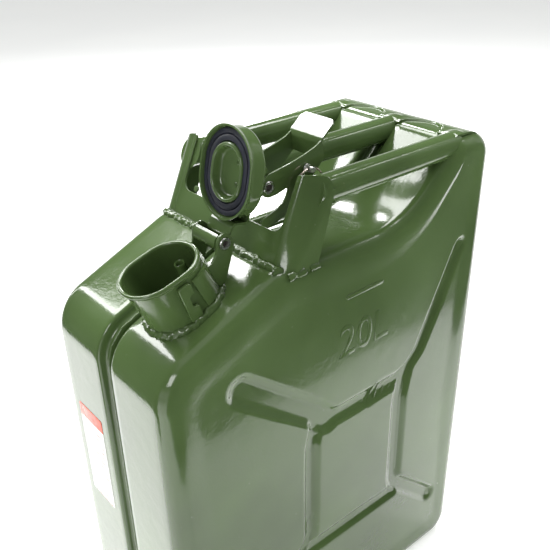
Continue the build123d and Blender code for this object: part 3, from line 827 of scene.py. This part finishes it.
class JERRY_OT_neck(bpy.types.Operator):
    """Builds the oval neck with its rolled rim, the air tube and the side lugs"""
    bl_idname = "jerry.neck"
    bl_label = "Neck"

    def execute(self, context):
        paint = finishes()["green paint"]
        rings = []

        profile = [(2.2, -16), (2.0, -4), (1.2, 3), (0.4, 9), (0, 16), (0, 36)]
        rim = 1.7
        for a in np.linspace(0.4, 2.2, 4):
            profile.append((0.1 + rim * (1 - math.cos(a)) / 2, 36.6 + 1.6 * (a / 2.2)))
        for a in np.linspace(-0.5, math.pi * 0.95, 10):
            profile.append((rim * math.cos(a), 39.3 + rim * math.sin(a)))
        profile += [(-1.6, 37.5), (-1.55, 30), (-1.5, 20), (-1.5, 4), (-1.5, -20), (-0.8, -21), (1.4, -20)]
        for grow, height in profile:
            rings.append(neck_ring(grow, height))
        points, faces = ring_wall(rings)
        make("neck_tube", points, faces, paint, "can", ("neck",), 50.0)

        centre = NECK_FOOT + NECK_BACK * 16.8 - SIDE * 2.0
        rings = []
        t = np.linspace(0, 2 * math.pi, 32, endpoint=False)[:, None]
        for r, h in ((4.0, -34), (4.0, 30), (3.9, 31.6), (3.5, 32), (3.1, 31.6), (3.0, 30), (3.0, -34)):
            rings.append(centre + NECK_UP * h + (NECK_BACK * np.cos(t) + SIDE * np.sin(t)) * r)
        points, faces = ring_wall(rings)
        make("air_tube", points, faces, paint, "can", ("breather_tube",), 50.0)

        lugs = []
        for side in (-1, 1):
            outline = [(0, 0), (10, 0), (10, 10), (5.5, 11), (5.5, 20), (10, 21), (10, 30), (0, 30)]
            start = NECK_FOOT + SIDE * side * 24.8 + NECK_BACK * (-2.9) + NECK_UP * 4
            lugs.append(plate([rounded(outline, 1.6)], start, NECK_BACK, NECK_UP, 3.2, 0.6))
        points, faces = joined(*lugs)
        make("neck_lugs", points, faces, paint, "can", ("latch_lugs",), 35.0)
        return {"FINISHED"}


class JERRY_OT_hinge(bpy.types.Operator):
    """Builds the collar behind the neck, its two ears and the hinge rivet"""
    bl_idname = "jerry.hinge"
    bl_label = "Hinge bracket"

    def execute(self, context):
        stuff = finishes()
        oval = even(racetrack(60.8, 48.5, 400), 400)
        keep = oval[oval[:, 0] > 8.0]
        order = np.argsort(np.arctan2(keep[:, 1], keep[:, 0]))
        keep = even(keep[order], 70, closed=False)
        heights = np.linspace(6.5, 32.5, 8)
        middle = np.array([[NECK_FOOT + NECK_BACK * (a + 6.0 * (1 - h / NECK_HEIGHT)) + SIDE * b + NECK_UP * h
                            for h in heights] for a, b in keep])
        ahead = np.gradient(keep, axis=0)
        ahead /= np.linalg.norm(ahead, axis=1)[:, None]
        outward = ahead[:, 1:] * NECK_BACK - ahead[:, :1] * SIDE
        normal = np.repeat(outward[:, None, :], 8, 1)
        made = [sheet_metal(middle, normal, 2.0)]
        outline = [(25, 6), (37, 6), (54, 29), (55, 35), (51, 43), (43, 42), (38, 31), (32, 27), (25, 27)]
        pin_hole = eye(47, 35, 3.2)
        for side in (-1, 1):
            start = NECK_FOOT + SIDE * side * 14.6
            arm = rounded(outline, [1, 3, 6, 7, 7.5, 7, 5, 3, 1])
            made.append(plate([arm, pin_hole], start, NECK_BACK, NECK_UP, 2.3, 0.5))
        points, faces = joined(*made)
        make("hinge_collar", points, faces, stuff["green paint"], "can",
             ("hinge_bracket",), 35.0)
        head = []
        for side in (-1, 1):
            rolled = [(3.15, 13.2), (3.15, 15.9), (4.5, 16.0), (4.7, 16.4), (4.4, 17.0), (3.4, 17.15),
                      (2.5, 16.8), (2.1, 15.5), (2.1, 13.2)]
            head.append(lathe(rolled, HINGE, (side, 0, 0), 40, closed=True))
        shank = [(3.15, -14.0), (3.15, 14.0), (2.1, 14.0), (2.1, -14.0)]
        head.append(lathe(shank, HINGE, (1, 0, 0), 40, closed=True))
        points, faces = joined(*head)
        make("hinge_rivet", points, faces, stuff["zinc plate"], "can", ("hinge_pin",), 40.0)
        # A dark plug filling the rivet's hollow: painted shade in the bore.
        points, faces = lathe([(2.05, -15.5), (2.05, 15.5)], HINGE, (1, 0, 0), 24)
        make("hinge_rivet_bore_painted_shade", points, faces, stuff["rivet bore"], "can", (), 40.0)
        return {"FINISHED"}


# ---------------------------------------------------------------- cap


def cap_ring(length, width, out, count=120):
    oval = racetrack(length, width, count)
    return CAP_CENTRE + oval[:, :1] * CAP_UP + oval[:, 1:] * SIDE + CAP_OUT * out


class JERRY_OT_cap(bpy.types.Operator):
    """Builds the cap, its gasket, the pressed pan inside it and the hinge strap"""
    bl_idname = "jerry.cap"
    bl_label = "Cap"

    def execute(self, context):
        stuff = finishes()
        paint = stuff["green paint"]
        outer = [(0.0, 4.5), (-0.35, 4.3), (-0.1, 5.4), (0.7, 6.4), (0.9, 9), (0.7, 15.5)]
        for a in np.linspace(0.2, math.pi / 2, 7):
            outer.append((0.7 + 4.6 * (1 - math.cos(a)), 15.5 + 4.6 * math.sin(a)))
        outer += [(12, 20.25), (20, 20.25), (28, 20.25)]
        rings = [cap_ring(CAP_LONG - 2 * d, CAP_SHORT - 2 * d, v) for d, v in outer]
        inner = [(1.2, 4.4), (1.5, 5.2), (2.1, 7.5), (2.2, 14)]
        inside = [cap_ring(CAP_LONG - 2 * d, CAP_SHORT - 2 * d, v) for d, v in inner]
        inside.append(cap_ring(20, 11, 18.9))
        points, faces = tube(list(reversed(inside)) + rings)
        make("cap_cover", points, faces, paint, "cap", ("cap_shell",), 50.0)

        steps = [(2.2, 9.5), (2.2, 7.6), (2.5, 6.9), (3.1, 6.6), (5.2, 6.55), (5.9, 6.75), (6.2, 7.6),
                 (6.6, 7.9), (7.0, 7.6), (7.2, 6.7), (7.8, 6.35), (10.5, 6.32), (11.1, 6.5),
                 (11.4, 7.2), (11.6, 10)]
        rings = [cap_ring(CAP_LONG - 2 * d, CAP_SHORT - 2 * d, v) for d, v in steps]
        points, faces = ring_wall(rings)
        make("cap_rubber", points, faces, stuff["black rubber"], "cap",
             ("cap_gasket",), 45.0)

        pan = [(0.0, 10), (0.0, 6.6), (0.35, 5.7), (1.0, 5.2), (1.9, 5.15), (2.6, 5.5), (3.1, 6.3),
               (3.6, 9.2), (4.2, 10.9), (5.4, 11.8), (7.5, 12.0)]
        rings = [cap_ring(PAN_LONG - 2 * d, PAN_SHORT - 2 * d, v) for d, v in pan] + [cap_ring(14, 6, 12.0)]
        back = [cap_ring(26, 18, 14.0), cap_ring(42, 34, 14.0)]
        points, faces = tube(list(reversed(back)) + rings)
        make("cap_pan", points, faces, paint, "cap", ("cap_insert",), 45.0)

        dots = []
        for u in (-8.0, 8.0):
            spot = CAP_CENTRE + CAP_UP * u + SIDE * 5 + CAP_OUT * 12.1
            dots.append(lathe([(1.9, 0.05), (1.5, 0.45), (1.0, 0.25), (0.4, 0.1)], spot, -CAP_OUT, 20))
        points, faces = joined(*dots)
        make("pan_weld_dots", points, faces, stuff["green paint on weld"], "cap",
             ("insert_welds",), 60.0)

        curl = 6.3945
        barrel = [(curl * math.sin(a), curl * math.cos(a)) for a in np.radians(np.arange(-235, 41, 12))]
        band = [(9.6, 7.5), (12.1, 9.5), (12.3, 16.0), (12.6, 21.3), (31.5, 21.3)]
        line = np.array(barrel + band)
        line = even(rounded(line, 2.5, closed=False), 90, closed=False)
        ahead = np.gradient(line, axis=0)
        ahead /= np.linalg.norm(ahead, axis=1)[:, None]
        xs = np.linspace(-12.9, 12.9, 9)
        middle = np.array([[HINGE + CAP_UP * u + CAP_OUT * v + SIDE * x for x in xs] for u, v in line])
        out = np.array([CAP_UP * -b + CAP_OUT * a for a, b in ahead])
        normal = np.repeat(out[:, None, :], 9, 1)
        points, faces = sheet_metal(middle, normal, 1.9)
        make("cap_hinge_strap", points, faces, paint, "cap", ("cap_strap",), 50.0)
        return {"FINISHED"}


class JERRY_OT_lever(bpy.types.Operator):
    """Builds the ears on the cap, their rivets and the clawed lever"""
    bl_idname = "jerry.lever"
    bl_label = "Latch lever"

    def execute(self, context):
        stuff = finishes()
        paint = stuff["green paint"]
        ear = [(33, 20.3), (58, 20.3), (57, 26.0), (46.5, 36.5), (39.5, 38.7), (32.8, 35), (32.5, 25)]
        made = []
        for side in (-1, 1):
            start = HINGE + SIDE * side * 14.5
            outline = rounded(ear, [1, 2, 5, 6.5, 6.5, 5, 3])
            made.append(plate([outline, eye(39.5, 31.7, 3.4)], start, CAP_UP, CAP_OUT, 1.9, 0.4))
        base = [(-14.5, 33.5), (14.5, 33.5), (14.5, 57.5), (-14.5, 57.5)]
        made.append(plate([rounded(base, 1)], HINGE + CAP_OUT * 21.3, SIDE, CAP_UP, 1.9, 0.4))
        points, faces = joined(*made)
        make("lever_ears", points, faces, paint, "cap", ("lever_bracket",), 35.0)

        heads, shade_plugs = [], []
        for side in (-1, 1):
            rolled = [(3.5, 12.7), (3.5, 17.9), (4.7, 18.0), (4.85, 18.4), (4.5, 18.9), (3.6, 19.0),
                      (2.9, 18.7), (2.45, 17.2), (2.4, 12.7)]
            heads.append(lathe(rolled, PIVOT, (side, 0, 0), 40, closed=True))
            # Dark plugs inside the rivet heads: painted shade in the bores.
            shade_plugs.append(lathe([(2.38, 12.8), (2.38, 17.0)], PIVOT, (side, 0, 0), 24))
        points, faces = joined(*heads)
        make("lever_rivet_heads", points, faces, stuff["zinc plate"], "cap", ("lever_rivets",), 40.0)
        # These plugs carry the painted shade of the rivet holes.
        points, faces = joined(*shade_plugs)
        make("lever_rivet_bores_painted_shade", points, faces, stuff["rivet bore"], "cap", (), 40.0)

        arm = [(-8.2, 1.0), (-5.0, 7.0), (2.0, 9.8), (22.0, 13.2), (35.0, 16.5), (46.0, 20.0),
               (52.0, 23.5), (54.3, 12.5), (53.5, 7.5), (46.0, 1.0), (34.0, -12.0), (22.0, -22.0),
               (11.0, -28.0), (1.0, -30.4), (-6.6, -29.0), (-7.0, -23.5), (8.0, -18.6), (14.5, -15.0),
               (17.5, -10.0), (19.0, -4.5), (8.0, -7.6), (-3.0, -8.4)]
        radii = [7, 8, 8, 20, 20, 10, 0.8, 3, 3, 6, 20, 20, 15, 6, 4, 4, 10, 8, 4, 1.2, 14, 8]
        rivet_hole, pin_hole = eye(0, 0, 3.7), eye(36.5, 6, 2.6)
        made = []
        for side, holes in ((-1, [rivet_hole]), (1, [rivet_hole, pin_hole])):
            start = PIVOT + SIDE * side * 16.8
            made.append(plate([rounded(arm, radii), *holes], start, (0, 1, 0), (0, 0, 1), 1.8, 0.4))
        line = np.array([(53.2, 8.2), (51.3, 20.5), (52.4, 23.8), (65.8, 34.9)])
        line = even(rounded(line, [0, 3, 3, 0], closed=False), 40, closed=False)
        ahead = np.gradient(line, axis=0)
        ahead /= np.linalg.norm(ahead, axis=1)[:, None]
        xs = np.linspace(-17.6, 17.6, 25)
        middle = np.zeros((40, 25, 3))
        for i, (y, z) in enumerate(line):
            along = i / 39
            for j, x in enumerate(xs):
                corner = 3.2 * smooth(14.4, 17.6, abs(x)) if along > 0.5 else 0.0
                back = corner * max(0.0, (along - 0.8) / 0.2)
                middle[i, j] = PIVOT + np.array([x, y - back * ahead[i, 0], z - back * ahead[i, 1]])
        normal = np.repeat(np.column_stack([np.zeros(40), -ahead[:, 1], ahead[:, 0]])[:, None, :], 25, 1)
        made.append(sheet_metal(middle, normal, 1.7))
        points, faces = joined(*made)
        make("latch_lever", points, faces, paint, "lever", ("lever",), 35.0)
        return {"FINISHED"}


class JERRY_OT_lock_pin(bpy.types.Operator):
    """Builds the cross-drilled lock pin and its two-turn split ring"""
    bl_idname = "jerry.lock_pin"
    bl_label = "Lock pin and ring"

    def execute(self, context):
        stuff = finishes()
        base = np.array([0.0, LOCK_PIN[1], LOCK_PIN[2]])
        profile = [(1.6, 45.0), (2.3, 45.7), (2.4, 46.4), (2.4, 50.1), (3.2, 50.2), (3.4, 50.6), (3.2, 51.1),
                   (2.45, 51.3), (2.4, 51.6), (2.4, 56.2), (2.2, 57.0), (1.2, 57.6)]
        points, faces = lathe(profile, base, (1, 0, 0), 32)
        cross_hole = lathe([(1.5, -5), (1.5, 5)], (RING_X, LOCK_PIN[1], LOCK_PIN[2]), (0, 1, 0), 24)
        mesh = cut(loose_solid("pin", points, faces), loose_solid("hole", *cross_hole))
        settle("lock_pin_body", mesh, stuff["zinc plate"], "lock_pin", ("lock_pin",), 35.0)

        centre = np.array([RING_X, LOCK_PIN[1], LOCK_PIN[2] - 14.0])
        turns, steps = 1.94, 230
        t = np.linspace(0, 2 * math.pi, 12, endpoint=False)
        rings = []
        for k in range(steps + 1):
            a = 2 * math.pi * turns * k / steps + 1.1
            lift = (smooth(0.42, 0.58, k / steps) - 0.5) * 1.02
            spoke = np.array([0.0, math.cos(a), math.sin(a)])
            thin = 0.5 if 4 < k < steps - 4 else 0.36
            mid = centre + spoke * 14.0 + SIDE * lift
            across, along = np.cos(t) * 1.6 * thin, np.sin(t) * thin * 0.98
            rings.append(mid + np.outer(across, spoke) + np.outer(along, SIDE))
        points, faces = tube(rings)
        make("split_ring", points, faces, stuff["worn nickel"], "pin_ring",
             ("pin_ring",), 60.0)
        return {"FINISHED"}


class JERRY_OT_marks(bpy.types.Operator):
    """Adds the label and the raised capacity mark"""
    bl_idname = "jerry.marks"
    bl_label = "Label and capacity mark"

    def execute(self, context):
        stuff = finishes()
        outline = rounded([(-60, 178), (-22, 178), (-22, 274), (-60, 274)], 2)
        start = np.array([0.0, -HALF_L - 0.12, 0.0])
        points, faces = plate([outline], start, (1, 0, 0), (0, 0, 1), 0.24, 0.05)
        make("side_label_film", points, faces, stuff["label film"], "can",
             ("side_label",), 35.0)

        text = bpy.data.curves.new("mark", "FONT")
        text.body = "20L"
        text.size = 40.0
        text.extrude = 0.25
        text.bevel_depth = 0.5
        text.bevel_resolution = 3
        text.offset = -0.35
        holder = bpy.data.objects.new("mark", text)
        context.collection.objects.link(holder)
        made = bpy.data.meshes.new_from_object(holder.evaluated_get(context.evaluated_depsgraph_get()))
        bpy.data.objects.remove(holder)
        flat = np.array([v.co for v in made.vertices], float).reshape(-1, 3)
        low, high = flat.min(0), flat.max(0)
        flat[:, 0] = -7 + (flat[:, 0] - low[0]) * 57 / (high[0] - low[0])
        flat[:, 1] = 312 + (flat[:, 1] - low[1]) * 30 / (high[1] - low[1])
        figures = np.column_stack([81.15 + flat[:, 2], flat[:, 0], flat[:, 1]])
        marks = [(figures, [tuple(p.vertices) for p in made.polygons])]
        bar = rounded([(-1, 365.6), (41, 365.6), (41, 369.6), (-1, 369.6)], 1.9)
        marks.append(plate([bar], (81.3, 0, 0), (0, 1, 0), (0, 0, 1), 1.5, 0.6))
        points, faces = joined(*marks)
        make("capacity_mark", points, faces, stuff["green paint"], "can", (), 50.0)
        return {"FINISHED"}


# ---------------------------------------------------------------- stage


def area_light(name, place, target, size, size_y, power, colour=(1, 1, 1)):
    light = bpy.data.lights.new(name, "AREA")
    light.shape = "RECTANGLE"
    light.size, light.size_y = size, size_y
    light.energy = power
    light.color = colour
    holder = bpy.data.objects.new(name, light)
    holder.location = place
    holder.rotation_euler = (Vector(target) - Vector(place)).to_track_quat("-Z", "Y").to_euler()
    bpy.context.collection.objects.link(holder)


class JERRY_OT_stage(bpy.types.Operator):
    """Sets the floor, the lights, the world and the camera"""
    bl_idname = "jerry.stage"
    bl_label = "Stage"

    def execute(self, context):
        scene = context.scene
        floor = bpy.data.meshes.new("floor")
        floor.from_pydata([(-40, -40, 0), (40, -40, 0), (40, 40, 0), (-40, 40, 0)], [], [(0, 1, 2, 3)])
        s = Shader("pale floor")
        tone = s.ramp(s.noise(3.0, 2.0), [(0.3, (0.9, 0.9, 0.9)), (0.7, (0.94, 0.94, 0.93))])
        floor.materials.append(s.finish(
            Base_Color=tone, Roughness=s.spread(s.noise(30.0), 0.3, 0.7, 0.75, 0.85),
            Emission_Color=(1, 1, 1, 1), Emission_Strength=0.45))
        piece = bpy.data.objects.new("floor", floor)
        context.collection.objects.link(piece)

        cards = Shader("dark card").finish(Base_Color=(0.03, 0.04, 0.03, 1), Roughness=0.9)
        for name, corners in {
            "card_right": [(0.37, -0.6, 0.0), (0.4, 2.2, 0.0), (0.4, 2.2, 1.5), (0.37, -0.6, 1.5)],
            "card_front": [(-1.5, -0.52, 0.0), (-0.03, -0.52, 0.0), (-0.03, -0.52, 1.2), (-1.5, -0.52, 1.2)],
        }.items():
            mesh = bpy.data.meshes.new(name)
            mesh.from_pydata(corners, [], [(0, 1, 2, 3)])
            mesh.materials.append(cards)
            card = bpy.data.objects.new(name, mesh)
            card.visible_camera = False
            card.visible_shadow = False
            card.visible_diffuse = False
            context.collection.objects.link(card)

        world = bpy.data.worlds.new("studio")
        world.use_nodes = True
        tree = world.node_tree
        tree.nodes.clear()
        coord = tree.nodes.new("ShaderNodeTexCoord")
        split = tree.nodes.new("ShaderNodeSeparateXYZ")
        ramp = tree.nodes.new("ShaderNodeValToRGB")
        back = tree.nodes.new("ShaderNodeBackground")
        out = tree.nodes.new("ShaderNodeOutputWorld")
        stops = [(0.0, (0.95, 0.95, 0.95)), (0.12, (0.9, 0.9, 0.9)), (0.3, (0.12, 0.14, 0.12)),
                 (0.75, (0.1, 0.11, 0.1)), (1.0, (0.75, 0.76, 0.75))]
        while len(ramp.color_ramp.elements) < len(stops):
            ramp.color_ramp.elements.new(0.5)
        for element, (position, colour) in zip(ramp.color_ramp.elements, stops):
            element.position, element.color = position, (*colour, 1)
        tree.links.new(coord.outputs["Generated"], split.inputs[0])
        tree.links.new(split.outputs["Z"], ramp.inputs[0])
        tree.links.new(ramp.outputs[0], back.inputs[0])
        tree.links.new(back.outputs[0], out.inputs[0])
        back.inputs[1].default_value = 1.0
        scene.world = world

        area_light("top_box", (-0.5, 0.6, 2.2), (0, 0, 0.3), 1.6, 1.0, 48)
        area_light("shoulder_box", (-1.25, -0.1, 1.7), (0, -0.1, 0.4), 0.42, 0.3, 9)
        area_light("deck_strip", (-1.6, 1.25, 1.55), (0, 0, 0.4), 0.25, 1.3, 22)
        area_light("left_strip", (-1.5, -0.6, 1.3), (0, 0, 0.3), 0.4, 1.6, 24)
        area_light("front_box", (0.6, -1.8, 1.5), (0, 0, 0.3), 0.8, 0.8, 14)
        area_light("rear_strip", (0.7, 1.8, 1.4), (0, 0, 0.3), 0.35, 1.4, 16)

        camera = bpy.data.cameras.new("camera")
        camera.sensor_width = 36.0
        camera.lens = 47.93
        camera.clip_start = 0.01
        holder = bpy.data.objects.new("camera", camera)
        azimuth, elevation, roll = (math.radians(a) for a in (50.48, 28.33, -1.24))
        level_length = math.cos(elevation)
        back_axis = Vector((
            math.sin(azimuth) * level_length, -math.cos(azimuth) * level_length, math.sin(elevation)))
        level = Vector((math.cos(azimuth), math.sin(azimuth), 0))
        rise = back_axis.cross(level)
        right = level * math.cos(roll) + rise * math.sin(roll)
        up = back_axis.cross(right)
        place = Matrix((right, up, back_axis)).transposed().to_4x4()
        place.translation = Vector((0.4272, -0.3582, 0.6558))
        holder.matrix_world = place
        context.collection.objects.link(holder)
        scene.camera = holder
        scene.view_settings.view_transform = "Standard"
        return {"FINISHED"}


# ---------------------------------------------------------------- add-on


class JerrySizes(bpy.types.PropertyGroup):
    """How finely the tank is meshed"""
    outline_points: bpy.props.IntProperty(
        name="Outline points", description="Points round the tank's side outline", default=760, min=100)
    face_rows: bpy.props.IntProperty(
        name="Face rows", description="Rows of mesh from the rim to the middle of a broad face",
        default=88, min=10)


class JerryColours(bpy.types.PropertyGroup):
    """The can's colours"""
    paint: bpy.props.FloatVectorProperty(
        name="Paint", description="Glossy paint", default=(0.068, 0.112, 0.036),
        subtype="COLOR", min=0, max=1)
    rubber: bpy.props.FloatVectorProperty(
        name="Rubber", description="Cap gasket", default=(0.018, 0.02, 0.034),
        subtype="COLOR", min=0, max=1)


class JERRY_PT_panel(bpy.types.Panel):
    """Lists the sizes and the building steps"""
    bl_idname = "JERRY_PT_panel"
    bl_label = "Jerry can"
    bl_space_type = "VIEW_3D"
    bl_region_type = "UI"
    bl_category = "Jerry can"

    def draw(self, context):
        for name in ("outline_points", "face_rows"):
            self.layout.prop(context.scene.jerry_sizes, name)
        for name in ("paint", "rubber"):
            self.layout.prop(context.scene.jerry_colours, name)
        for step in STEPS:
            self.layout.operator(step.bl_idname)


STEPS = (
    JERRY_OT_shells, JERRY_OT_seam, JERRY_OT_front_bracket, JERRY_OT_handles, JERRY_OT_rear_cover,
    JERRY_OT_welds, JERRY_OT_neck, JERRY_OT_hinge, JERRY_OT_cap, JERRY_OT_lever, JERRY_OT_lock_pin,
    JERRY_OT_marks, JERRY_OT_stage)
CLASSES = (JerrySizes, JerryColours, *STEPS, JERRY_PT_panel)


def register():
    for kind in CLASSES:
        bpy.utils.register_class(kind)
    bpy.types.Scene.jerry_sizes = bpy.props.PointerProperty(type=JerrySizes)
    bpy.types.Scene.jerry_colours = bpy.props.PointerProperty(type=JerryColours)


def unregister():
    del bpy.types.Scene.jerry_colours
    del bpy.types.Scene.jerry_sizes
    for kind in reversed(CLASSES):
        bpy.utils.unregister_class(kind)


def main():
    register()
    for step in STEPS:
        getattr(bpy.ops.jerry, step.bl_idname.split(".")[1])()


if __name__ == "__main__":
    main()
